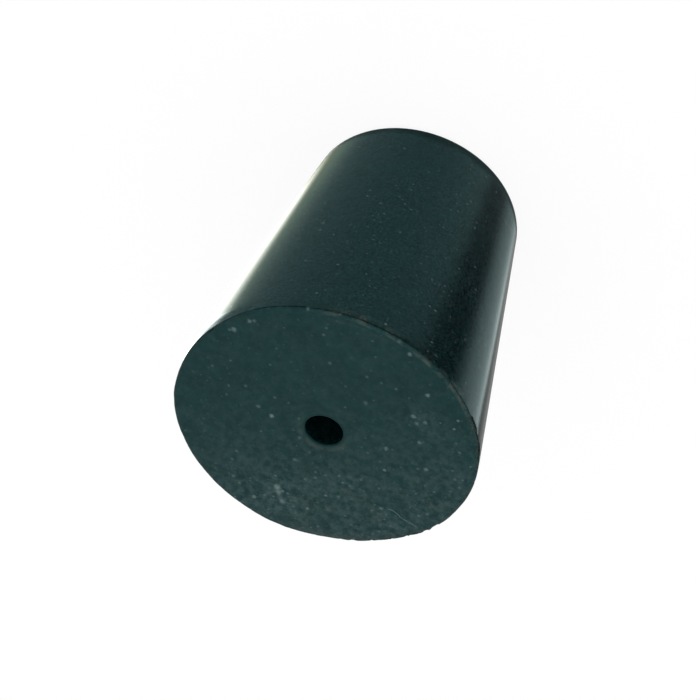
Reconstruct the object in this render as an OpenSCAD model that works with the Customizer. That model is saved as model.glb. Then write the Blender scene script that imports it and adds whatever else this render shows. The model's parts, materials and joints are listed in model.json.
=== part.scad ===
// One-hole rubber stopper: a plain tapered plug with a hole straight through.
// It stands on its small end. The origin is the centre of that end's face and
// Z runs along the hole towards the large end. All sizes are in millimetres.

/* [Body] */
// Diameter of the large end, measured to the sharp corner
top_d = 22; // [18:0.5:28]
// Diameter of the small end, measured to the sharp corner
bottom_d = 16; // [13:0.5:17.5]
// Length from the small end's face to the large end's face
length = 25; // [18:1:35]

/* [Edges] */
// Radius of the worn corner round the large end
top_edge_r = 0.3; // [0.1:0.05:1]
// Radius of the moulded corner round the small end
bottom_edge_r = 0.7; // [0.1:0.05:1.5]

/* [Hole] */
// Diameter of the hole that runs from end to end
bore_d = 2.7; // [2:0.1:6]
// How far the soft bevel at each mouth reaches beyond the hole's wall
bevel_reach = 0.3; // [0.1:0.05:1.5]
// Depth of that bevel below the end face
bevel_depth = 0.15; // [0.05:0.05:0.8]

/* [Hidden] */
$fn = 128;
top_r = top_d / 2;
bottom_r = bottom_d / 2;
bore_r = bore_d / 2;
mouth_r = bore_r + bevel_reach;
// Angle the side leans out from the axis
lean = atan((top_r - bottom_r) / length);
// Distance from a sharp corner to the point where its rounding meets the face
top_setback = top_edge_r * tan(45 + lean / 2);
bottom_setback = bottom_edge_r * tan(45 - lean / 2);
// Straight steps in the rounding of each corner
corner_steps = 12;
// How far a cutting tool runs past the face it cuts
over = 1;
rubber_color = [0.145, 0.23, 0.235];

// Points on an arc of the given radius about [x, z], between two angles.
function corner(x, z, radius, from, to) = [
  for (i = [0:corner_steps])
    let (angle = from + (to - from) * i / corner_steps)
      [x + radius * cos(angle), z + radius * sin(angle)]
];

// Half section of the plug without its hole. Each corner's arc leaves the flat
// face and joins the leaning side without a kink.
module plug_section() {
  top_x = top_r - top_setback;
  bottom_x = bottom_r - bottom_setback;
  polygon(concat(
    [[0, 0]],
    corner(bottom_x, bottom_edge_r, bottom_edge_r, -90, -lean),
    corner(top_x, length - top_edge_r, top_edge_r, -lean, 90),
    [[0, length]]
  ));
}

// The hole and the bevel at each of its mouths.
module bore_cut() {
  translate([0, 0, -over])
    cylinder(r = bore_r, h = length + 2 * over);
  for (end = [0, 1])
    translate([0, 0, end * length])
      mirror([0, 0, end])
        bevel_cut();
}

// One bevel, opening downwards through the face at z = 0.
module bevel_cut() {
  slope = bevel_reach / bevel_depth;
  translate([0, 0, -over])
    cylinder(
      r1 = mouth_r + over * slope,
      r2 = bore_r,
      h = over + bevel_depth
    );
}

// The whole moulding.
module stopper() {
  color(rubber_color)
    difference() {
      rotate_extrude()
        plug_section();
      bore_cut();
    }
}

stopper();
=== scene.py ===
"""Looks of the one-hole rubber stopper: its worn moulding, its rubber and the studio round it.

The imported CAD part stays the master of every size. The moulding made here has the same section,
turned finely enough to carry what use has done to it: a rubbed rim, small nicks, a tag of flash
and faces that are not quite flat. Lengths are in metres, and in millimetres where a name ends in _mm.
"""

import json
import logging
import math
from collections.abc import Callable, Iterable
from dataclasses import asdict, dataclass, field
from enum import Enum, auto
from functools import partial, reduce

import bpy
from bpy.types import Material, Object
from mathutils import Matrix, Vector


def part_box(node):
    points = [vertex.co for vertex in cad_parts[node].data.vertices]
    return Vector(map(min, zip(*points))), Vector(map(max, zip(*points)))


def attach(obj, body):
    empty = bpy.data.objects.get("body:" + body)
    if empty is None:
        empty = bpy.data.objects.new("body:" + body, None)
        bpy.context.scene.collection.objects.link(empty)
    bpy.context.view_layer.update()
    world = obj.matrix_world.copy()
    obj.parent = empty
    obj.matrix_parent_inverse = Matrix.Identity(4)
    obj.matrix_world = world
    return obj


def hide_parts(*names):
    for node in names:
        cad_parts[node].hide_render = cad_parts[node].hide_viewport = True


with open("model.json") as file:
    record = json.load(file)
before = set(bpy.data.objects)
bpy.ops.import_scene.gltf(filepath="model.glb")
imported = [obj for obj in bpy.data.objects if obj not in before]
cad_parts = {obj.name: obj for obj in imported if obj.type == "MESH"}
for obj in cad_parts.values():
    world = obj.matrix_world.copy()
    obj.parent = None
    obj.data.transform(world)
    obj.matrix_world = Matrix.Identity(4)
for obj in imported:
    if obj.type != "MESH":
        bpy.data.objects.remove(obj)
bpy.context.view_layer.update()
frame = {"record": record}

LOG = logging.getLogger("stopper")
MM = 0.001

# Distance from the axis and height.
Pair = tuple[float, float]
Socket = bpy.types.NodeSocket
Sockets = bpy.types.bpy_prop_collection
Value = float | int | bool | tuple | Socket | None


class Region(Enum):
    """Stretches of the stopper's half section, in the order in which the section passes them."""

    SMALL_MOUTH = auto()
    SMALL_FACE = auto()
    SMALL_CORNER = auto()
    SIDE = auto()
    LARGE_CORNER = auto()
    LARGE_FACE = auto()
    LARGE_MOUTH = auto()
    BORE = auto()


@dataclass(frozen=True)
class Grain:
    """A fractal noise: features per unit of place, octaves added, their strength, and which pattern."""

    scale: Value
    detail: float
    rough: float
    seed: Value


class Graph:
    """Adds nodes to one tree and links them, so that a recipe reads from top to bottom."""

    def __init__(self, tree: bpy.types.NodeTree) -> None:
        """Takes the shader or geometry node tree to build in."""
        self.tree = tree

    def feed(self, socket: Socket, value: Value) -> None:
        """Links a socket to the input, or sets the input to a constant.

        Args:
            socket: The input to fill.
            value: An output socket, a constant, or None to leave the input as it is.
        """
        if value is None:
            return
        if isinstance(value, bpy.types.NodeSocket):
            self.tree.links.new(value, socket)
        else:
            socket.default_value = value

    def node(self, kind: str, inputs: dict | None = None, **settings: object) -> bpy.types.Node:
        """Adds one node.

        Args:
            kind: The node's type identifier.
            inputs: Input names or indices, each with what feeds it.
            settings: Attributes of the node, which are set before its inputs are filled.

        Returns:
            The new node.
        """
        made = self.tree.nodes.new(kind)
        for name, value in settings.items():
            setattr(made, name, value)
        for name, value in (inputs or {}).items():
            self.feed(made.inputs[name], value)
        return made

    def socket(self, kind: str, inputs: dict | None = None, **settings: object) -> Socket:
        """Adds one node as above, and gives its first output."""
        return self.node(kind, inputs, **settings).outputs[0]

    def maths(self, operation: str, first: Value, second: Value = None, clamp: bool = False) -> Socket:
        """Adds a Math node, whose result may be kept between 0 and 1."""
        return self.socket("ShaderNodeMath", {0: first, 1: second}, operation=operation, use_clamp=clamp)

    def product(self, *factors: Value) -> Socket:
        """Multiplies two or more values."""
        return reduce(partial(self.maths, "MULTIPLY"), factors)

    def total(self, *parts: Value) -> Socket:
        """Adds two or more values."""
        return reduce(partial(self.maths, "ADD"), parts)

    def largest(self, values: Iterable[Value]) -> Socket:
        """Keeps the largest of several values, or 0 where all of them are below it."""
        return reduce(partial(self.maths, "MAXIMUM"), values, 0.0)

    def less(self, value: Value, taken_off: Value) -> Socket:
        """Takes one value from another."""
        return self.maths("SUBTRACT", value, taken_off)

    def gap(self, value: Value, other: Value) -> Socket:
        """Measures how far apart two values are."""
        return self.maths("ABSOLUTE", self.less(value, other))

    def vector(self, operation: str, first: Value, second: Value = None) -> Socket:
        """Adds a Vector Math node that gives a vector."""
        return self.socket("ShaderNodeVectorMath", {0: first, 1: second}, operation=operation)

    def measured(self, operation: str, first: Value, second: Value = None) -> Socket:
        """Adds a Vector Math node that gives a number, such as a length or a distance."""
        made = self.node("ShaderNodeVectorMath", {0: first, 1: second}, operation=operation)
        return made.outputs["Value"]

    def scaled(self, vector: Value, factor: Value) -> Socket:
        """Scales a vector by one factor."""
        return self.socket("ShaderNodeVectorMath", {0: vector, "Scale": factor}, operation="SCALE")

    def joined(self, x: Value, y: Value, z: Value = None) -> Socket:
        """Joins three values to a vector. What is left out is 0."""
        return self.socket("ShaderNodeCombineXYZ", {0: x, 1: y, 2: z})

    def split(self, vector: Value) -> Sockets:
        """Splits a vector into its three values."""
        return self.node("ShaderNodeSeparateXYZ", {0: vector}).outputs

    def smooth(self, value: Value, low: Value, high: Value) -> Socket:
        """Rises smoothly from 0 at low to 1 at high, and falls where low is above high."""
        inputs = {"Value": value, "From Min": low, "From Max": high}
        return self.socket("ShaderNodeMapRange", inputs, interpolation_type="SMOOTHSTEP")

    def even(self, value: Value, low: Value, high: Value) -> Socket:
        """Rises evenly from 0 at low to 1 at high, and falls where low is above high."""
        inputs = {"Value": value, "From Min": low, "From Max": high}
        return self.socket("ShaderNodeMapRange", inputs)

    def between(self, value: Value, low: Value, high: Value) -> Socket:
        """Rises evenly from low to high as the value goes from 0 to 1."""
        inputs = {"Value": value, "To Min": low, "To Max": high}
        return self.socket("ShaderNodeMapRange", inputs)

    def noise(self, place: Value, grain: Grain) -> Socket:
        """Adds fractal noise.

        Args:
            place: Where the noise is read.
            grain: What the noise is like.

        Returns:
            The noise, around one half.
        """
        inputs = {"Vector": place, "W": grain.seed, "Scale": grain.scale}
        inputs |= {"Detail": grain.detail, "Roughness": grain.rough}
        return self.socket("ShaderNodeTexNoise", inputs, noise_dimensions="4D")

    def blend(self, factor: Value, under: Value, over: Value) -> Socket:
        """Mixes two colours.

        Args:
            factor: Share of the upper colour.
            under: The lower colour.
            over: The upper colour.

        Returns:
            The mixed colour.
        """
        made = self.node("ShaderNodeMix", data_type="RGBA")
        sockets = [socket for socket in made.inputs if socket.enabled]
        for socket, value in zip(sockets, (factor, under, over)):
            self.feed(socket, value)
        return next(socket for socket in made.outputs if socket.enabled)


def placed(name: str, data: bpy.types.ID) -> Object:
    """Puts a mesh, a lamp or a camera into the scene.

    Args:
        name: The object's name.
        data: What it shows.

    Returns:
        The object.
    """
    made = bpy.data.objects.new(name, data)
    bpy.context.scene.collection.objects.link(made)
    return made


class NodeGroup:
    """A reusable node tree with named inputs and outputs."""

    def __init__(self, name: str, kind: str, inputs: dict[str, tuple], outputs: dict[str, str]) -> None:
        """Makes the empty group and its sockets.

        Args:
            name: The group's name.
            kind: "ShaderNodeTree" or "GeometryNodeTree".
            inputs: Each input's name, with its socket type and default value.
            outputs: Each output's name, with its socket type.
        """
        self.tree = bpy.data.node_groups.new(name, kind)
        for label, (socket_type, default) in inputs.items():
            made = self.tree.interface.new_socket(name=label, in_out="INPUT", socket_type=socket_type)
            if default is not None:
                made.default_value = default
        for label, socket_type in outputs.items():
            self.tree.interface.new_socket(name=label, in_out="OUTPUT", socket_type=socket_type)
        self.graph = Graph(self.tree)
        self.taken = self.graph.node("NodeGroupInput").outputs
        self.given = self.graph.node("NodeGroupOutput").inputs

    def identifier(self, label: str) -> str:
        """Finds the identifier that a modifier uses for the input of this name."""
        items = self.tree.interface.items_tree
        return next(item.identifier for item in items if item.name == label and item.in_out == "INPUT")

    def mask(self, graph: Graph, inputs: dict[str, Value]) -> Socket:
        """Adds this group to a material's graph and gives its mask."""
        return graph.node("ShaderNodeGroup", inputs, node_tree=self.tree).outputs["Mask"]


@dataclass(frozen=True)
class PlugSection:
    """Half section of the plug, from the axis outwards, with rounded corners and hole mouths."""

    length: float
    bore_radius: float
    large_radius: float = 11.0 * MM
    small_radius: float = 8.0 * MM
    large_corner: float = 0.3 * MM
    small_corner: float = 0.7 * MM
    mouth_reach: float = 0.3 * MM
    mouth_depth: float = 0.15 * MM
    face_step: float = 0.2 * MM
    side_step: float = 0.4 * MM
    bore_step: float = 0.9 * MM
    corner_steps: int = 10
    mouth_steps: int = 6

    # Length of the first and the last step of a straight stretch, next to the others.
    EDGE_STEP = 0.15

    @property
    def lean(self) -> float:
        """Angle by which the side leans out from the axis."""
        return math.atan((self.large_radius - self.small_radius) / self.length)

    @staticmethod
    def arc(centre: Pair, radii: Pair, turn: tuple[float, float], steps: int) -> list[Pair]:
        """Points along an ellipse's arc, ends included, its angles from outwards towards upwards."""
        angles = (turn[0] + (turn[1] - turn[0]) * step / steps for step in range(steps + 1))
        return [(centre[0] + radii[0] * math.cos(a), centre[1] + radii[1] * math.sin(a)) for a in angles]

    @classmethod
    def straight(cls, start: Pair, end: Pair, step: float) -> list[Pair]:
        """Points between two others, neither included, closer together near both ends.

        Args:
            start: The point before the first.
            end: The point after the last.
            step: Rough distance between neighbours.

        Returns:
            The points.
        """
        count = max(2, round(math.dist(start, end) / step))
        close = cls.EDGE_STEP / count
        shares = [close, *(share / count for share in range(1, count)), 1.0 - close]
        return [tuple(a + (b - a) * share for a, b in zip(start, end)) for share in shares]

    def stretches(self) -> dict[Region, list[Pair]]:
        """Divides the section into its stretches, from the small mouth outwards, up and back in.

        Returns:
            The points of each stretch, in order.
        """
        quarter, lean = math.pi / 2, self.lean
        mouth = self.bore_radius + self.mouth_reach
        small_x = self.small_radius - self.small_corner * math.tan((quarter - lean) / 2)
        large_x = self.large_radius - self.large_corner * math.tan((quarter + lean) / 2)
        depth, small, large = self.mouth_depth, self.small_corner, self.large_corner
        lip, top = (self.mouth_reach, depth), self.length
        at_mouth, at_corner = self.mouth_steps, self.corner_steps
        arcs = (
            ((mouth, depth), lip, (math.pi, 3 * quarter), at_mouth),
            ((small_x, small), (small, small), (-quarter, -lean), at_corner),
            ((large_x, top - large), (large, large), (-lean, quarter), at_corner),
            ((mouth, top - depth), lip, (quarter, math.pi), at_mouth),
        )
        rounds = [self.arc(*arc) for arc in arcs]
        steps = (self.face_step, self.side_step, self.face_step, self.bore_step)
        after = (*rounds[1:], rounds[0])
        links = [self.straight(one[-1], other[0], step) for one, other, step in zip(rounds, after, steps)]
        # The regions take turns: a round, then the straight that leads to the next round.
        return dict(zip(Region, (stretch for pair in zip(rounds, links) for stretch in pair)))

    def outline(self) -> list[Pair]:
        """Joins the stretches to one closed loop, whose first point comes again at its end."""
        points = [point for stretch in self.stretches().values() for point in stretch]
        return [*points, points[0]]


@dataclass(frozen=True)
class Wear:
    """What moulding and use have done to the plug's true shape. Bearings are in degrees from +X.

    Each field is an input of the moulding's tree, under the same name in words.
    """

    unevenness: float = 0.03 * MM
    face_sink: float = 0.06 * MM
    rim_reach: float = 0.55 * MM
    rim_loss: float = 0.05 * MM
    nick_depth: float = 0.14 * MM
    first_chipped_bearing: float = 213.0
    second_chipped_bearing: float = 133.0
    chipped_spread: float = 30.0
    first_flat_bearing: float = 342.0
    second_flat_bearing: float = 119.0
    flat_spread: float = 34.0
    flat_depth: float = 0.2 * MM
    flat_reach: float = 1.3 * MM
    tag_height: float = 0.2 * MM
    tag_bearing: float = 291.5
    tag_width: float = 0.16 * MM
    seed: float = 4.0


@dataclass
class Moulding:
    """The rubber plug itself, turned from its section and then worn."""

    section: PlugSection
    wear: Wear
    name: str = "moulded_plug"
    around: int = 400
    weld: float = 0.0005 * MM
    rim_mask: str = "rim_wear"

    def measures(self) -> dict[str, float]:
        """Names every measure that the tree takes.

        Returns:
            The inputs' names, each with its value.
        """
        named = {name.replace("_", " ").title(): value for name, value in asdict(self.wear).items()}
        # The rim is where the rounded corner stands out most, a little inside the sharp one.
        rim_radius = self.section.large_radius - self.section.large_corner / 3
        return named | {"Length": self.section.length, "Rim Radius": rim_radius}

    def guide(self) -> Object:
        """Makes the section as a line of points in the XZ plane.

        Returns:
            An object whose mesh is that line.
        """
        mesh = bpy.data.meshes.new(self.name)
        points = [(outward, 0.0, height) for outward, height in self.section.outline()]
        edges = [(index, index + 1) for index in range(len(points) - 1)]
        mesh.from_pydata(points, edges, [])
        return placed(self.name, mesh)

    def lathe(self) -> NodeGroup:
        """Builds the tree that turns a section about Z and wears the result.

        Returns:
            The geometry node group.
        """
        inputs = {
            "Section": ("NodeSocketGeometry", None),
            "Steps Around": ("NodeSocketInt", self.around),
            "Material": ("NodeSocketMaterial", None),
        }
        inputs |= {label: ("NodeSocketFloat", value) for label, value in self.measures().items()}
        group = NodeGroup("turned_and_worn", "GeometryNodeTree", inputs, {"Geometry": "NodeSocketGeometry"})
        graph = group.graph
        solid = self.worn(group, self.turned(group))
        smooth = graph.socket("GeometryNodeSetShadeSmooth", {0: solid})
        realized = graph.socket("GeometryNodeRealizeInstances", {0: smooth})
        inputs = {"Geometry": realized, "Material": group.taken["Material"]}
        graph.feed(group.given[0], graph.socket("GeometryNodeSetMaterial", inputs))
        return group

    def turned(self, group: NodeGroup) -> Socket:
        """Wraps a grid round the axis, each of its rows at one point of the section.

        Args:
            group: The tree to build in.

        Returns:
            The closed surface of revolution.
        """
        graph, section = group.graph, group.taken["Section"]
        counts = graph.node("GeometryNodeAttributeDomainSize", {"Geometry": section}, component="MESH")
        rows = counts.outputs["Point Count"]
        # A sheet of width and height 1 round the origin, so that adding a half gives shares from 0 to 1.
        inputs = {"Size X": 1.0, "Size Y": 1.0, "Vertices Y": rows}
        inputs["Vertices X"] = graph.total(group.taken["Steps Around"], 1)
        sheet = graph.node("GeometryNodeMeshGrid", inputs).outputs["Mesh"]
        position = graph.socket("GeometryNodeInputPosition")
        x, y, _ = graph.split(position)
        turn = graph.product(graph.total(x, 0.5), math.tau)
        row = graph.maths("ROUND", graph.product(graph.total(y, 0.5), graph.less(rows, 1)))
        inputs = {"Geometry": section, "Value": position, "Index": row}
        point = graph.socket("GeometryNodeSampleIndex", inputs, data_type="FLOAT_VECTOR", domain="POINT")
        inputs = {"Vector": point, "Angle": turn}
        wrapped = graph.socket("ShaderNodeVectorRotate", inputs, rotation_type="Z_AXIS")
        inputs = {"Geometry": sheet, "Position": wrapped}
        wound = graph.socket("GeometryNodeSetPosition", inputs)
        inputs = {"Geometry": wound, "Distance": self.weld}
        return graph.socket("GeometryNodeMergeByDistance", inputs)

    def stretches(self, group: NodeGroup, heading: Socket, kind: str) -> Socket:
        """Says how near a place is to either of two bearings where the rim has worn in one way.

        Args:
            group: The tree to build in.
            heading: Level direction of the place from the axis.
            kind: The way of wearing, as the tree's inputs name it.

        Returns:
            1 on either bearing, and 0 beyond the spread.
        """
        graph, taken = group.graph, group.taken
        edge = graph.maths("COSINE", graph.maths("RADIANS", taken[f"{kind} Spread"]))
        near = []
        for order in ("First", "Second"):
            bearing = self.heading(graph, taken[f"{order} {kind} Bearing"])
            near.append(graph.smooth(graph.measured("DOT_PRODUCT", heading, bearing), edge, 1.0))
        return graph.maths("MAXIMUM", *near)

    def worn(self, group: NodeGroup, solid: Socket) -> Socket:
        """Takes material off the true surface, adds the tag, and marks where the rim is worn.

        Args:
            group: The tree to build in.
            solid: The surface of revolution.

        Returns:
            The worn surface.
        """
        graph, taken = group.graph, group.taken
        place = graph.socket("GeometryNodeInputPosition")
        normal = graph.socket("GeometryNodeInputNormal")
        x, y, height = graph.split(place)
        level = graph.joined(x, y)
        radius = graph.measured("LENGTH", level)
        in_mm = graph.scaled(place, 1.0 / MM)

        # Nearness to the large end's rim: 1 on it, 0 at the rim's reach.
        rim = graph.joined(taken["Rim Radius"], taken["Length"])
        off_rim = graph.measured("DISTANCE", rim, graph.joined(radius, height))
        near_rim = graph.smooth(off_rim, taken["Rim Reach"], 0.0)

        # The rim is rubbed in patches, and nicked more often on its two chipped stretches.
        seed = taken["Seed"]
        rubbed = graph.smooth(graph.noise(in_mm, Grain(0.55, 3.0, 0.6, seed)), 0.42, 0.72)
        crumbled = graph.noise(in_mm, Grain(2.0, 1.0, 0.5, graph.total(seed, 7.0)))
        heading = graph.vector("NORMALIZE", level)
        chips, flats = (self.stretches(group, heading, kind) for kind in ("Chipped", "Flat"))
        easily = graph.maths("MINIMUM", graph.product(chips, 3.0), 1.0)
        chipped = graph.smooth(graph.total(crumbled, graph.product(easily, 0.2)), 0.64, 0.76)
        rubbed_off = graph.product(rubbed, taken["Rim Loss"])
        depth = graph.total(rubbed_off, graph.product(chipped, taken["Nick Depth"]))
        rim_loss = graph.product(near_rim, depth)

        # The whole surface waves a little, the large face sinks, and the rim has two flats.
        waves = graph.product(graph.noise(in_mm, Grain(0.16, 2.0, 0.5, seed)), taken["Unevenness"])
        on_face = graph.smooth(graph.split(normal)[2], 0.9, 1.0)
        bowl = graph.product(graph.smooth(radius, taken["Rim Radius"], 0.0), on_face, taken["Face Sink"])
        near_flat = graph.smooth(off_rim, taken["Flat Reach"], 0.0)
        flattened = graph.product(flats, near_flat, taken["Flat Depth"])
        loss = graph.total(graph.total(rim_loss, waves), graph.total(bowl, flattened))
        inward = graph.scaled(normal, graph.product(loss, -1.0))

        # The tag of flash stands out of the rim at its bearing, along the radius.
        outward = self.heading(graph, taken["Tag Bearing"])
        foot = graph.scaled(outward, taken["Rim Radius"])
        root = graph.vector("ADD", foot, graph.joined(None, None, taken["Length"]))
        off_tag = graph.maths("DIVIDE", graph.measured("DISTANCE", place, root), taken["Tag Width"])
        rise = graph.product(graph.smooth(off_tag, 2.2, 0.3), taken["Tag Height"])
        moved = graph.vector("ADD", inward, graph.scaled(outward, rise))

        mask = graph.product(near_rim, graph.maths("MAXIMUM", rubbed, chipped))
        inputs = {"Geometry": solid, "Name": self.rim_mask, "Value": mask}
        marked = graph.socket("GeometryNodeStoreNamedAttribute", inputs, data_type="FLOAT", domain="POINT")
        inputs = {"Geometry": marked, "Offset": moved}
        return graph.socket("GeometryNodeSetPosition", inputs)

    @staticmethod
    def heading(graph: Graph, bearing: Socket) -> Socket:
        """Turns a bearing, in degrees from +X, into a level direction."""
        angle = graph.maths("RADIANS", bearing)
        return graph.joined(graph.maths("COSINE", angle), graph.maths("SINE", angle))

    def build(self, material: Material) -> Object:
        """Makes the finished piece.

        Args:
            material: The rubber it is dressed in.

        Returns:
            The plug as a plain mesh object at the origin.
        """
        piece = self.guide()
        group = self.lathe()
        modifier = piece.modifiers.new("lathe", "NODES")
        modifier.node_group = group.tree
        settings = self.measures() | {"Steps Around": self.around, "Material": material}
        for label, value in settings.items():
            modifier[group.identifier(label)] = value
        view = bpy.context.evaluated_depsgraph_get()
        mesh = bpy.data.meshes.new_from_object(piece.evaluated_get(view), depsgraph=view)
        piece.modifiers.remove(modifier)
        line, piece.data = piece.data, mesh
        bpy.data.meshes.remove(line)
        mesh.name = self.name
        self.face_outwards(mesh)
        return piece

    @staticmethod
    def face_outwards(mesh: bpy.types.Mesh) -> None:
        """Turns every face outwards, by the sign of the volume they enclose.

        Args:
            mesh: A closed mesh whose faces all agree.
        """
        volume = sum(face.center.dot(face.normal) * face.area / 3 for face in mesh.polygons)
        if volume < 0:
            mesh.flip_normals()
        LOG.info("the plug encloses %.1f cubic millimetres", abs(volume) / MM**3)


@dataclass(frozen=True)
class Crumb:
    """A speck of dust that stands out by its size: its place on the large face and its width."""

    x_mm: float
    y_mm: float
    width_mm: float
    strength: float


@dataclass(frozen=True)
class Drift:
    """A patch of the large face where dust has gathered: its centre, its reach and how much."""

    x_mm: float
    y_mm: float
    reach_mm: float
    extra: float


@dataclass(frozen=True)
class SpeckLayer:
    """One size of fine dust: cells per millimetre, size in its cell, share of cells, and strength."""

    per_mm: float
    size: float
    share: float
    strength: float


class Effects:
    """Shader node groups that the rubber draws on more than once. Each gives a mask."""

    def __init__(self) -> None:
        """Builds each group once."""
        numbers = {"Per Unit": 1.0, "Size": 0.2, "Share": 0.5, "Seed": 0.0}
        self.specks = self.group("scattered_specks", ("Place",), numbers, self.draw_specks)
        numbers = {"Per Unit": 1.0, "Cover": 0.5, "Softness": 0.1, "Seed": 0.0}
        self.cloud = self.group("ragged_patches", ("Place",), numbers, self.draw_cloud)
        numbers = {"Radius": 1.0, "Hardness": 0.5}
        self.spot = self.group("soft_spot", ("Place", "Centre"), numbers, self.draw_spot)

    @staticmethod
    def group(
        name: str, places: tuple, numbers: dict[str, float], draw: Callable[[Graph, Sockets], Socket]
    ) -> NodeGroup:
        """Makes a shader group that gives one mask.

        Args:
            name: The group's name.
            places: Names of the inputs that take a place.
            numbers: Names of the inputs that take a number, each with its default value.
            draw: Adds the nodes that read those inputs, and gives the mask.

        Returns:
            The group.
        """
        inputs = {label: ("NodeSocketVector", None) for label in places}
        inputs |= {label: ("NodeSocketFloat", default) for label, default in numbers.items()}
        made = NodeGroup(name, "ShaderNodeTree", inputs, {"Mask": "NodeSocketFloat"})
        made.graph.feed(made.given["Mask"], draw(made.graph, made.taken))
        return made

    @staticmethod
    def draw_specks(graph: Graph, taken: Sockets) -> Socket:
        """Scatters small round specks.

        Args:
            graph: The group's graph.
            taken: Its inputs.

        Returns:
            The mask: 1 on the strongest specks.
        """
        shift = graph.scaled((1.7, 2.9, 0.6), taken["Seed"])
        inputs = {"Vector": graph.vector("ADD", taken["Place"], shift), "Scale": taken["Per Unit"]}
        cells = graph.node("ShaderNodeTexVoronoi", inputs, voronoi_dimensions="3D")
        dice = graph.node("ShaderNodeSeparateColor", {0: cells.outputs["Color"]}).outputs
        kept = graph.maths("LESS_THAN", dice[0], taken["Share"])
        reach = graph.product(taken["Size"], graph.between(dice[1], 0.45, 1.0))
        dot = graph.smooth(cells.outputs["Distance"], reach, graph.product(reach, 0.35))
        return graph.product(dot, kept, graph.between(dice[2], 0.35, 1.0))

    @staticmethod
    def draw_cloud(graph: Graph, taken: Sockets) -> Socket:
        """Draws soft patches with ragged edges.

        Args:
            graph: The group's graph.
            taken: Its inputs.

        Returns:
            The mask: 1 inside a patch.
        """
        ragged = graph.noise(taken["Place"], Grain(taken["Per Unit"], 5.0, 0.62, taken["Seed"]))
        edge = graph.less(1.0, taken["Cover"])
        low, high = graph.less(edge, taken["Softness"]), graph.total(edge, taken["Softness"])
        return graph.smooth(ragged, low, high)

    @staticmethod
    def draw_spot(graph: Graph, taken: Sockets) -> Socket:
        """Marks a place with a soft edge.

        Args:
            graph: The group's graph.
            taken: Its inputs.

        Returns:
            The mask: 1 near the centre and 0 beyond the radius.
        """
        away = graph.measured("DISTANCE", taken["Place"], taken["Centre"])
        return graph.smooth(away, taken["Radius"], graph.product(taken["Radius"], taken["Hardness"]))


class Point:
    """A point of the rubber, measured in millimetres by one material's graph."""

    # The large face's finish begins and is full this far below its height.
    FACE_STARTS_MM = 0.28
    FACE_FULL_MM = 0.12

    def __init__(self, graph: Graph, effects: Effects, height_mm: float, rim_mm: float) -> None:
        """Adds the nodes that every part of the finish reads.

        Args:
            graph: The material's graph.
            effects: The shared shader groups.
            height_mm: Height of the large face.
            rim_mm: Radius of the large face's rim.
        """
        self.graph, self.effects, self.height_mm, self.rim_mm = graph, effects, height_mm, rim_mm
        self.place = graph.scaled(graph.node("ShaderNodeTexCoord").outputs["Object"], 1.0 / MM)
        self.x, self.y, self.height = graph.split(self.place)
        self.level = graph.joined(self.x, self.y)
        self.radius = graph.measured("LENGTH", self.level)
        # 1 on the large face, 0 further down the side and the hole.
        starts, full = height_mm - self.FACE_STARTS_MM, height_mm - self.FACE_FULL_MM
        self.face = graph.smooth(self.height, starts, full)


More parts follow.
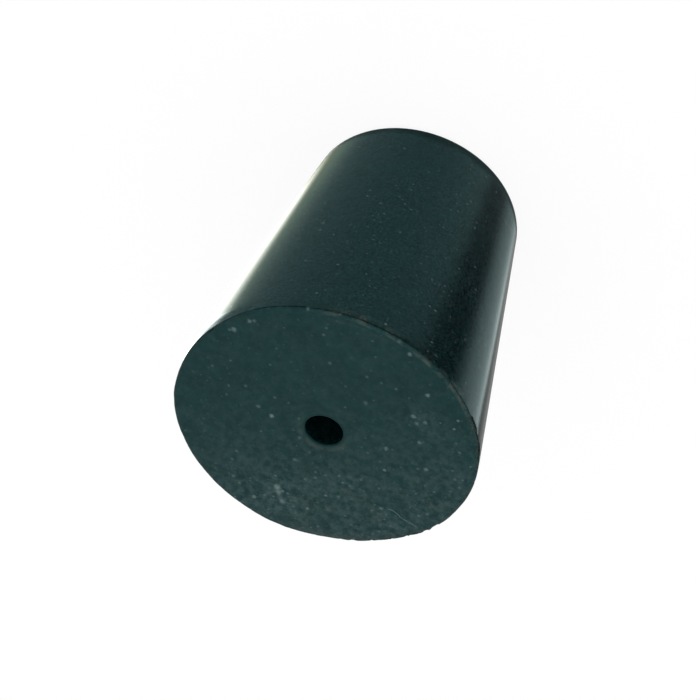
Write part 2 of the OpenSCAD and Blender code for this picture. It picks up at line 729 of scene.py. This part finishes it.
@dataclass(frozen=True)
class RubberFinish:
    """Dark blue-green moulded rubber, satin on its side and dull and dusty on its large face.

    Satin, dull and the side's painted shade and mottling hold a lowest and a highest value, and the film's
    share the side's and the face's. The darkening of the side's colour is painted shade. The scratch's
    start and end are places on the large face.
    """

    rubber: tuple = (0.0010, 0.0085, 0.0095, 1.0)
    rubber_pale: tuple = (0.0042, 0.0215, 0.0225, 1.0)
    sheen_tint: tuple = (0.36, 1.0, 1.0, 1.0)
    dust: tuple = (0.245, 0.315, 0.315, 1.0)
    brown_dust: tuple = (0.17, 0.13, 0.095, 1.0)
    # Colour of the pale rim lines: a painted highlight of the rounded rim, on its worn stretch.
    worn: tuple = (0.125, 0.115, 0.085, 1.0)
    ior: float = 1.5
    satin: tuple = (0.11, 0.18)
    dull: tuple = (0.46, 0.62)
    bump_strength: float = 0.6
    bump_depth: float = 0.02 * MM

    # Noises that vary the rubber itself.
    fine: Grain = Grain(4.2, 3.0, 0.7, 1.0)
    broad: Grain = Grain(0.8, 2.0, 0.5, 2.0)
    grain: Grain = Grain(6.0, 3.0, 0.6, 8.0)
    # The side's colour is scaled between these: random mottling that on average darkens it, which is
    # painted shade.
    mottling: tuple = (0.1, 1.1)

    # How much of each layer shows.
    film_share: tuple = (0.03, 0.10)
    stain_share: float = 0.06
    ring_share: float = 0.12
    scratch_share: float = 0.22
    worn_share: float = 0.42
    crumb_share: float = 0.68
    side_dust: float = 0.36

    ring_radius_mm: float = 1.72
    ring_half_width_mm: float = 0.34
    crumb_reach: float = 0.75
    scratch_start_mm: tuple = (-6.1, 4.6)
    scratch_end_mm: tuple = (-8.8, 5.5)
    scratch_half_width_mm: float = 0.06
    drifts: tuple = (
        Drift(0.8, 8.0, 3.4, 0.7),
        Drift(-5.8, -4.6, 2.2, 0.5),
        Drift(-2.6, 4.2, 3.0, 0.25),
        Drift(-7.4, 5.6, 2.6, 0.25),
    )
    layers: tuple = (
        SpeckLayer(3.3, 0.42, 0.7, 0.10),
        SpeckLayer(1.9, 0.36, 0.5, 0.17),
        SpeckLayer(1.0, 0.19, 0.30, 0.32),
    )
    crumbs: tuple = tuple(
        Crumb(*row)
        for row in (
            (4.1, -10.3, 0.42, 0.5), (3.7, 0.6, 0.36, 0.6), (4.8, 0.2, 0.32, 0.3),
            (1.5, 7.1, 0.60, 0.42), (1.3, 7.5, 0.44, 0.42), (0.8, 8.3, 0.44, 0.35),
            (2.8, 9.0, 0.34, 0.35), (-7.5, -0.4, 0.34, 0.42), (-4.4, -0.8, 0.30, 0.35),
            (-6.3, -2.6, 0.32, 0.42), (-5.5, -7.1, 0.34, 0.5), (-3.3, -10.0, 0.32, 0.45),
            (-6.1, -4.6, 0.34, 0.4), (-5.2, -4.7, 0.38, 0.42), (-5.6, -4.2, 0.30, 0.3),
            (-5.8, 5.0, 0.32, 0.35), (-8.9, 3.7, 0.30, 0.25), (1.1, 3.8, 0.34, 0.3),
            (-1.9, -4.1, 0.30, 0.25), (-2.7, 5.6, 0.30, 0.25), (8.2, -5.8, 0.38, 0.5),
            (8.5, -5.6, 0.28, 0.4), (7.4, -7.1, 0.32, 0.4), (7.1, -7.3, 0.26, 0.35),
        )
    )

    def build(self, effects: Effects, height_mm: float, rim_mm: float, rim_mask: str) -> Material:
        """Makes the material.

        Args:
            effects: The shared shader groups.
            height_mm: Height of the large face.
            rim_mm: Radius of the large face's rim.
            rim_mask: Name of the attribute that says where the rim is worn.

        Returns:
            The rubber.
        """
        material = bpy.data.materials.new("moulded_rubber")
        material.use_nodes = True
        graph = Graph(material.node_tree)
        shader = material.node_tree.nodes["Principled BSDF"]
        at = Point(graph, effects, height_mm, rim_mm)
        fine, broad, grain = (graph.noise(at.place, noise) for noise in (self.fine, self.broad, self.grain))

        # The bare rubber, mottled on the side alone, where it is also darkened: that darkening is painted
        # shade.
        shade = graph.total(graph.product(fine, 0.65), graph.product(broad, 0.35))
        colour = graph.blend(graph.even(shade, 0.33, 0.67), self.rubber, self.rubber_pale)
        shaded_mottle = graph.between(graph.smooth(grain, 0.36, 0.64), *self.mottling)
        colour = graph.scaled(colour, graph.between(at.face, shaded_mottle, 1.0))

        # Dust as a film and as brownish stains, then what is drawn on top of them.
        dusty = self.dustiness(at)
        inputs = {"Place": at.place, "Per Unit": 2.1, "Cover": 0.47, "Softness": 0.2, "Seed": 3.0}
        film = effects.cloud.mask(graph, inputs)
        film = graph.product(film, dusty, graph.between(at.face, *self.film_share))
        colour = graph.blend(film, colour, self.dust)
        inputs = {"Place": at.place, "Per Unit": 0.7, "Cover": 0.44, "Softness": 0.07, "Seed": 5.0}
        stain = graph.product(effects.cloud.mask(graph, inputs), graph.smooth(dusty, 0.6, 1.0))
        stain = graph.product(stain, graph.smooth(fine, 0.4, 0.6), self.stain_share)
        stained = graph.total(stain, graph.product(self.mouth_ring(at), self.ring_share))
        colour = graph.blend(stained, colour, self.brown_dust)

        specks = self.all_specks(at, dusty)
        crumbs = self.all_crumbs(at)
        lines = graph.product(self.scratch(at), self.scratch_share)
        # Pale lines inside the rim, laid where the rim is worn: a painted highlight of the rounded rim.
        rim = graph.node("ShaderNodeAttribute", attribute_name=rim_mask).outputs["Fac"]
        worn = graph.product(self.rim_lines(at), graph.between(rim, 0.6, 1.0), self.worn_share)
        colour = graph.blend(worn, colour, self.worn)
        colour = graph.blend(graph.maths("MAXIMUM", specks, lines), colour, self.dust)
        graph.feed(shader.inputs["Base Color"], graph.blend(crumbs, colour, self.dust))

        # The rubber is duller within about a millimetre of the small end.
        rough = graph.between(at.face, graph.between(fine, *self.satin), graph.between(fine, *self.dull))
        near_small_end = graph.smooth(graph.total(at.height, graph.product(broad, 0.8)), 2.0, 1.1)
        rough = graph.total(rough, graph.product(worn, 0.25), graph.product(near_small_end, 0.35))
        rough = graph.maths("ADD", rough, graph.product(specks, 0.3), clamp=True)
        graph.feed(shader.inputs["Roughness"], rough)
        shader.inputs["IOR"].default_value = self.ior
        shader.inputs["Specular Tint"].default_value = self.sheen_tint

        relief = graph.total(
            graph.product(grain, graph.between(at.face, 0.35, 1.0)),
            graph.product(specks, 1.2),
            graph.product(crumbs, 2.5),
        )
        relief = graph.less(relief, graph.product(lines, 1.5))
        inputs = {"Strength": self.bump_strength, "Distance": self.bump_depth, "Height": relief}
        graph.feed(shader.inputs["Normal"], graph.socket("ShaderNodeBump", inputs))
        return material

    def dustiness(self, at: Point) -> Socket:
        """Says how dusty a place is: most on the large face towards +Y, less on the side, not in the hole.

        Args:
            at: The point of the rubber.

        Returns:
            The dustiness: 0 where there is none, and 1 or more where dust has gathered.
        """
        graph = at.graph
        across = graph.less(at.y, graph.product(at.x, 0.55))
        gathered = graph.between(graph.smooth(across, -5.0, 10.0), 0.27, 1.08)
        for drift in self.drifts:
            away = graph.measured("DISTANCE", at.level, (drift.x_mm, drift.y_mm, 0.0))
            near = graph.smooth(away, drift.reach_mm, 0.0)
            gathered = graph.total(gathered, graph.product(near, drift.extra))
        elsewhere = graph.product(graph.less(1.0, at.face), self.side_dust)
        outside = graph.smooth(at.radius, 1.45, 1.75)
        return graph.product(graph.total(graph.product(at.face, gathered), elsewhere), outside)

    def mouth_ring(self, at: Point) -> Socket:
        """Marks the soft and patchy brownish ring round the +Y side of the hole's mouth.

        Args:
            at: The point of the rubber.

        Returns:
            The ring's mask.
        """
        graph = at.graph
        ring = graph.smooth(graph.gap(at.radius, self.ring_radius_mm), self.ring_half_width_mm, 0.0)
        near_side = graph.smooth(at.y, -0.9, 1.1)
        patchy = graph.smooth(graph.noise(at.level, Grain(1.6, 3.0, 0.6, 9.0)), 0.35, 0.6)
        return graph.product(ring, near_side, patchy, at.face)

    @staticmethod
    def rim_lines(at: Point) -> Socket:
        """Draws thin pale lines just inside the large face's rim: a painted highlight of the rounded rim,
        which is laid only where the rim is worn.

        Args:
            at: The point of the rubber.

        Returns:
            The mask of both lines.
        """
        graph = at.graph
        wander = graph.less(graph.noise(at.level, Grain(0.5, 2.0, 0.5, 11.0)), 0.5)
        strayed = graph.total(at.radius, graph.product(wander, 0.3))
        broken = graph.smooth(graph.noise(at.place, Grain(1.1, 5.0, 0.75, 12.0)), 0.38, 0.66)
        towards = graph.product(graph.smooth(at.y, -3.5, -6.5), graph.smooth(at.x, 4.5, 1.5))
        nearest = graph.smooth(graph.gap(at.x, 0.4), 3.0, 1.0)
        # Each line's distance inside the rim, its half width and its strength.
        lines = ((0.17, 0.17, 1.0), (0.6, 0.18, graph.product(nearest, 0.6)))
        drawn = graph.largest(
            graph.product(graph.smooth(graph.gap(strayed, at.rim_mm - inset), half_width, 0.02), strength)
            for inset, half_width, strength in lines
        )
        on_top = graph.smooth(at.height, at.height_mm - 1.0, at.height_mm - 0.4)
        return graph.product(drawn, broken, towards, on_top)

    def all_specks(self, at: Point, dusty: Socket) -> Socket:
        """Lays the sizes of fine dust.

        Args:
            at: The point of the rubber.
            dusty: How dusty the place is.

        Returns:
            The mask of all specks.
        """
        graph = at.graph
        masks = []
        for seed, layer in enumerate(self.layers, start=1):
            inputs = {"Place": at.place, "Per Unit": layer.per_mm, "Size": layer.size, "Seed": float(seed)}
            inputs["Share"] = graph.product(dusty, layer.share)
            masks.append(graph.product(at.effects.specks.mask(graph, inputs), layer.strength))
        return graph.largest(masks)

    def all_crumbs(self, at: Point) -> Socket:
        """Lays each crumb of dust at its own place on the large face.

        Args:
            at: The point of the rubber.

        Returns:
            The mask of all crumbs.
        """
        graph = at.graph
        inputs = {"Vector": at.place, "Scale": 5.0}
        noise = graph.node("ShaderNodeTexNoise", inputs, noise_dimensions="3D").outputs["Color"]
        shake, middle = 0.25, 0.5
        ragged = graph.vector("SUBTRACT", graph.scaled(noise, shake), (shake * middle,) * 3)
        shaken = graph.vector("ADD", at.place, ragged)
        masks = []
        for crumb in self.crumbs:
            inputs = {"Place": shaken, "Centre": (crumb.x_mm, crumb.y_mm, at.height_mm), "Hardness": 0.1}
            inputs["Radius"] = crumb.width_mm * self.crumb_reach
            mask = at.effects.spot.mask(graph, inputs)
            masks.append(graph.product(mask, crumb.strength * self.crumb_share))
        return graph.largest(masks)

    def scratch(self, at: Point) -> Socket:
        """Draws one short crooked scratch near the edge of the large face.

        Args:
            at: The point of the rubber.

        Returns:
            The scratch's mask.
        """
        graph, top = at.graph, at.height_mm
        start, end = (Vector((*point, top)) for point in (self.scratch_start_mm, self.scratch_end_mm))
        along_axis, length = (end - start).normalized(), (end - start).length
        aside_axis = Vector((-along_axis.y, along_axis.x, 0.0))
        local = graph.vector("SUBTRACT", at.place, tuple(start))
        axes = (along_axis, aside_axis)
        along, aside = (graph.measured("DOT_PRODUCT", local, tuple(axis)) for axis in axes)
        bend = graph.less(graph.noise(at.place, Grain(0.7, 2.0, 0.5, 6.0)), 0.5)
        wander = graph.maths("ABSOLUTE", graph.total(aside, graph.product(bend, 1.1)))
        half_width = self.scratch_half_width_mm
        return graph.product(
            graph.smooth(wander, half_width, half_width * 0.3),
            graph.smooth(along, -0.1, 0.4),
            graph.smooth(along, length + 0.1, length - 0.4),
            graph.smooth(at.height, top - 0.4, top - 0.2),
        )


@dataclass(frozen=True)
class PaperFinish:
    """Plain white sweep. What the camera sees of it is lifted towards white, and keeps its shadows."""

    colour: tuple = (0.94, 0.94, 0.94, 1.0)
    lift: float = 0.9

    def build(self) -> Material:
        """Makes the material.

        Returns:
            The paper.
        """
        material = bpy.data.materials.new("white_paper")
        material.use_nodes = True
        nodes = material.node_tree.nodes
        nodes.remove(nodes["Principled BSDF"])
        graph = Graph(material.node_tree)
        paper = graph.socket("ShaderNodeBsdfDiffuse", {"Color": self.colour})
        glow = graph.socket("ShaderNodeEmission", {"Color": (1.0, 1.0, 1.0, 1.0), "Strength": 1.0})
        rays = graph.node("ShaderNodeLightPath").outputs
        seen = graph.largest(rays[f"Is {kind} Ray"] for kind in ("Camera", "Glossy", "Transmission"))
        inputs = {0: graph.product(seen, self.lift), 1: paper, 2: glow}
        mixed = graph.socket("ShaderNodeMixShader", inputs)
        graph.feed(nodes["Material Output"].inputs["Surface"], mixed)
        return material


@dataclass(frozen=True)
class Card:
    """A sheet standing low round the stopper, which shows only as a reflection. Angles in degrees.

    It runs from one bearing to the next, counted anticlockwise from +X, and fades in and out at
    its two edges. The edges may lean: start and end hold at the card's level, and each edge moves
    by its lean for every degree above that, as far as the card's reach below and above its level.
    The card's foot may rise along it in the same way, and it ends at its head.
    """

    start: float
    end: float
    fade_in: float
    fade_out: float
    brightness: float
    tint: tuple = (1.0, 1.0, 1.0)
    leans: tuple = (0.0, 0.0)
    level: float = -50.0
    foot: float = -90.0
    foot_rise: float = 0.0
    reach: tuple = (-10.0, 10.0)
    head: float = -36.0
    foot_blur: float = 0.5
    head_blur: float = 2.0

    def add_to(self, graph: Graph, bearing: Socket, height: Socket) -> Socket:
        """Works out how brightly the card shows in each direction.

        Args:
            graph: The world's graph.
            bearing: Bearing of the direction.
            height: Angle of the direction above the horizon.

        Returns:
            The card's colour, black where it is not.
        """
        # Degrees along the card from its start, counted from 60 before it to 300 past it.
        before = -60.0
        inputs = {0: graph.less(bearing, self.start), 1: before + 360.0, 2: before}
        along = graph.socket("ShaderNodeMath", inputs, operation="WRAP")
        offset = graph.maths("MAXIMUM", graph.less(height, self.level), self.reach[0])
        offset = graph.maths("MINIMUM", offset, self.reach[1])
        past_start, past_end = (graph.less(along, graph.product(offset, lean)) for lean in self.leans)
        width = self.end - self.start
        foot = graph.total(graph.product(along, self.foot_rise), self.foot)
        shown = graph.product(
            graph.smooth(past_start, 0.0, self.fade_in),
            graph.even(past_end, width, width - self.fade_out),
            graph.smooth(graph.less(height, foot), -self.foot_blur, self.foot_blur),
            graph.smooth(height, self.head + self.head_blur, self.head - self.head_blur),
            self.brightness,
        )
        return graph.scaled(self.tint, shown)


@dataclass(frozen=True)
class Viewpoint:
    """The camera: what it looks at, from where, and how far it is rolled about its line of sight."""

    aim: tuple = (0.485 * MM, 0.0, 16.61 * MM)
    distance: float = 175.73 * MM
    bearing: float = -0.23
    elevation: float = 45.50
    roll: float = -157.27
    lens: float = 127.0
    sensor: float = 36.0
    clip: tuple = (5 * MM, 5.0)

    def build(self) -> Object:
        """Makes the scene's camera.

        Returns:
            The camera object.
        """
        data = bpy.data.cameras.new("camera")
        data.lens, data.sensor_width = self.lens, self.sensor
        data.clip_start, data.clip_end = self.clip
        camera = placed("camera", data)
        turn, lift = math.radians(self.bearing), math.radians(self.elevation)
        back = Vector((math.sin(turn) * math.cos(lift), -math.cos(turn) * math.cos(lift), math.sin(lift)))
        upright = (-back).to_track_quat("-Z", "Y").to_matrix().to_4x4()
        rolled = upright @ Matrix.Rotation(math.radians(self.roll), 4, "Z")
        camera.matrix_world = Matrix.Translation(Vector(self.aim) + back * self.distance) @ rolled
        bpy.context.scene.camera = camera
        return camera


@dataclass(frozen=True)
class Studio:
    """A white sweep under a wide soft lamp, with cards for the rubber to reflect."""

    sweep_radius: float = 0.6
    sweep_height: float = 0.3
    sweep_bend: float = 0.15
    sweep_rings: tuple = (0.02, 0.1, 0.3, 0.6, 1.0)
    bend_steps: int = 12
    around: int = 96
    room_above: float = 0.45
    room_fade: tuple = (-30.0, -2.0)
    lamp_strength: float = 2.0
    lamp_spread: float = 75.0
    lamp_tilt: tuple = (18.0, 0.0)
    cards: tuple = (
        Card(203.0, 420.0, 6.0, 20.0, 0.335, (0.71, 0.97, 1.0), (9.0, 0.0), level=-60.0, foot=-70.0),
        Card(150.0, 191.0, 10.0, 10.0, 0.21, leans=(0.0, -10.0), level=-60.0),
        Card(5.0, 92.0, 60.0, 10.0, 0.35, (0.82, 1.0, 0.58), foot=-61.0),
        Card(
            33.5, 92.0, 40.0, 30.0, 3.1, (1.0, 0.98, 0.9), (-7.0, 0.0),
            level=-51.0, foot=-55.8, foot_rise=0.14, reach=(-10.0, 1.5),
        ),
        Card(28.0, 76.0, 10.0, 10.0, 3.5, foot=-48.0, head=-40.0),
        Card(97.0, 134.0, 10.0, 25.0, 0.41, (0.97, 1.0, 0.96)),
        Card(123.0, 206.0, 6.0, 22.0, 0.37, (0.80, 1.0, 1.0), (4.4, 5.2)),
        Card(123.0, 182.0, 6.0, 56.0, 0.33, (0.86, 1.0, 1.0), (4.4, 4.4), foot=-52.6, foot_rise=-0.135),
        Card(340.0, 500.0, 70.0, 70.0, 0.5, foot=-36.0, head=90.0),
        Card(185.0, 265.0, 35.0, 35.0, 0.22, foot=-36.0, head=90.0),
        Card(123.0, 141.0, 5.0, 13.0, 0.46, (0.93, 1.0, 1.0), (4.4, 4.4), foot=-51.8, foot_rise=-0.135),
    )

    def build_sweep(self, paper: Material) -> Object:
        """Makes the floor, which curves up into a low wall all round.

        Args:
            paper: Its material.

        Returns:
            The sweep.
        """
        bend, around = self.sweep_bend, self.around
        flat = self.sweep_radius - bend
        profile = [(flat * share, 0.0) for share in self.sweep_rings]
        for step in range(1, self.bend_steps + 1):
            angle = math.pi / 2 * step / self.bend_steps
            profile.append((flat + bend * math.sin(angle), bend * (1 - math.cos(angle))))
        profile.append((self.sweep_radius, self.sweep_height))
        turns = [math.tau * step / around for step in range(around)]
        points = [(0.0, 0.0, 0.0)]
        points += [(r * math.cos(turn), r * math.sin(turn), z) for r, z in profile for turn in turns]
        sides = [(step, (step + 1) % around) for step in range(around)]
        faces = [(0, 1 + this, 1 + after) for this, after in sides]
        for low in range(1, 1 + (len(profile) - 1) * around, around):
            high = low + around
            faces += [(low + this, high + this, high + after, low + after) for this, after in sides]
        mesh = bpy.data.meshes.new("sweep")
        mesh.from_pydata(points, [], faces)
        mesh.shade_smooth()
        mesh.materials.append(paper)
        sweep = placed("sweep", mesh)
        sweep.visible_glossy = False
        return sweep

    def build_lamp(self) -> Object:
        """Makes the wide soft lamp overhead.

        Returns:
            The lamp.
        """
        data = bpy.data.lights.new("overhead", "SUN")
        data.energy, data.angle = self.lamp_strength, math.radians(self.lamp_spread)
        lamp = placed("overhead", data)
        lamp.rotation_euler = [math.radians(angle) for angle in (*self.lamp_tilt, 0.0)]
        lamp.visible_glossy = False
        return lamp

    def build_room(self) -> bpy.types.World:
        """Makes the surroundings: the cards, which give way to an even room towards the horizon.

        Returns:
            The world.
        """
        world = bpy.data.worlds.new("room")
        world.use_nodes = True
        graph = Graph(world.node_tree)
        background = world.node_tree.nodes["Background"]
        direction = graph.node("ShaderNodeTexCoord").outputs["Generated"]
        x, y, z = graph.split(direction)
        bearing = graph.maths("DEGREES", graph.maths("ARCTAN2", y, x))
        height = graph.maths("DEGREES", graph.maths("ARCSINE", z))
        below: Value = (0.0, 0.0, 0.0)
        for card in self.cards:
            below = graph.vector("ADD", below, card.add_to(graph, bearing, height))
        above = graph.smooth(height, *self.room_fade)
        light = graph.blend(above, below, (*(self.room_above,) * 3, 1.0))
        graph.feed(background.inputs["Color"], light)
        background.inputs["Strength"].default_value = 1.0
        bpy.context.scene.world = world
        return world


@dataclass
class Stopper:
    """The whole object: one moulding, which stands for the CAD node."""

    node: str = "stopper"
    slot: str = "rubber"
    body: str = "root"
    finish: RubberFinish = field(default_factory=RubberFinish)
    wear: Wear = field(default_factory=Wear)

    def section(self) -> PlugSection:
        """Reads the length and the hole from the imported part.

        Returns:
            The plug's half section.
        """
        low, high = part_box(self.node)
        mounts = {mount["name"]: mount for mount in frame["record"]["mounts"]}
        return PlugSection(length=high.z - low.z, bore_radius=mounts["bore"]["dims"]["r_mm"] * MM)

    def build(self, effects: Effects) -> Object:
        """Makes the moulding, dresses it, sets it under its body's empty and hides the CAD part.

        Args:
            effects: The shared shader groups.

        Returns:
            The finished piece.
        """
        section = self.section()
        moulding = Moulding(section, self.wear)
        height_mm, rim_mm = section.length / MM, section.large_radius / MM
        rubber = self.finish.build(effects, height_mm, rim_mm, moulding.rim_mask)
        piece = moulding.build(rubber)
        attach(piece, self.body)
        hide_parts(self.node)
        LOG.info("%s: %d faces", piece.name, len(piece.data.polygons))
        return piece


def main() -> None:
    """Builds the camera, the stopper and the studio, in that order."""
    logging.basicConfig(level=logging.INFO, format="%(name)s: %(message)s")
    bpy.context.scene.view_settings.view_transform = "Standard"
    Viewpoint().build()
    Stopper().build(Effects())
    studio = Studio()
    studio.build_room()
    studio.build_lamp()
    studio.build_sweep(PaperFinish().build())


if __name__ == "__main__":
    main()
